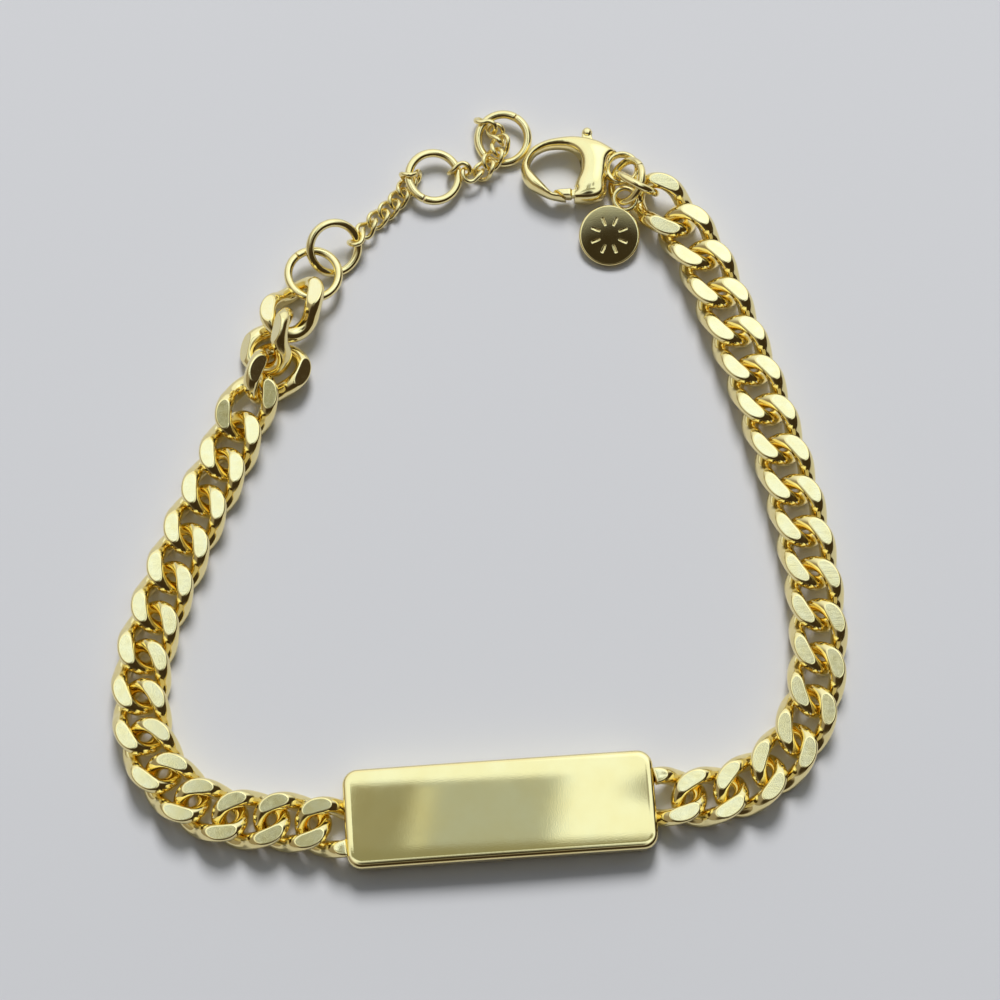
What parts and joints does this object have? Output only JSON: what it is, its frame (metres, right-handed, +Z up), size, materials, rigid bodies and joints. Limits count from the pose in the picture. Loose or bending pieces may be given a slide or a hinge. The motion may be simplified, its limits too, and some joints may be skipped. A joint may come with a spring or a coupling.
{
  "type": "curb chain identity bracelet",
  "caption": "Gold-coloured curb chain bracelet with a plain curved name plate, a lobster clasp, a small round tag and a short extension chain, lying open.",
  "frame": {"origin": "On the surface the bracelet lies on, under the middle of the box round the whole layout.", "axes": "+X runs across the open loop, roughly along the name plate towards the clasp's side. +Y runs from the name plate towards the clasp and the extension chain. +Z points up from the surface; the layout's height is its smallest extent."},
  "size_m": [0.072, 0.0784, 0.0054],
  "materials": {
    "curb_links": "polished gold plating with fine scratches",
    "plate": "gold plating, softly polished with faint lengthwise marks",
    "fittings": "polished gold plating",
    "rings": "polished gold plating",
    "tag_metal": "gold plating with a plain ray pattern",
    "fine_chain": "polished gold plating"
  },
  "bodies": {
    "bracelet": {"link_r01": "curb_links", "link_r02": "curb_links", "link_r03": "curb_links", "link_r04": "curb_links", "link_r05": "curb_links", "link_r06": "curb_links", "link_r07": "curb_links", "link_r08": "curb_links", "link_r09": "curb_links", "link_r10": "curb_links", "link_r11": "curb_links", "link_r12": "curb_links", "link_r13": "curb_links", "link_r14": "curb_links", "link_r15": "curb_links", "link_r16": "curb_links", "link_r17": "curb_links", "link_l01": "curb_links", "link_l02": "curb_links", "link_l03": "curb_links", "link_l04": "curb_links", "link_l05": "curb_links", "link_l06": "curb_links", "link_l07": "curb_links", "link_l08": "curb_links", "link_l09": "curb_links", "link_l10": "curb_links", "link_l11": "curb_links", "link_l12": "curb_links", "link_l13": "curb_links", "link_l14": "curb_links", "link_l15": "curb_links", "link_l16": "curb_links", "link_l17": "curb_links", "id_plate": "plate", "clasp_body": "fittings", "clasp_rivet": "fittings", "jump_ring_1": "rings", "jump_ring_2": "rings", "tag": "tag_metal", "ring_1": "rings", "ring_2": "rings", "ring_3": "rings", "ring_4": "rings", "fine_chain_1": "fine_chain", "fine_chain_2": "fine_chain"},
    "lever": {"clasp_lever": "fittings"}
  },
  "joints": [
    {"name": "clasp_lever_pivot", "type": "hinge", "parent": "bracelet", "child": "lever", "pos_m": [0.01151, 0.03418, 0.0015], "axis": [0, 0, -1], "range_deg": [0, 25], "stiffness_Nm_per_rad": 0.002, "springref_deg": -8.59}
  ]
}
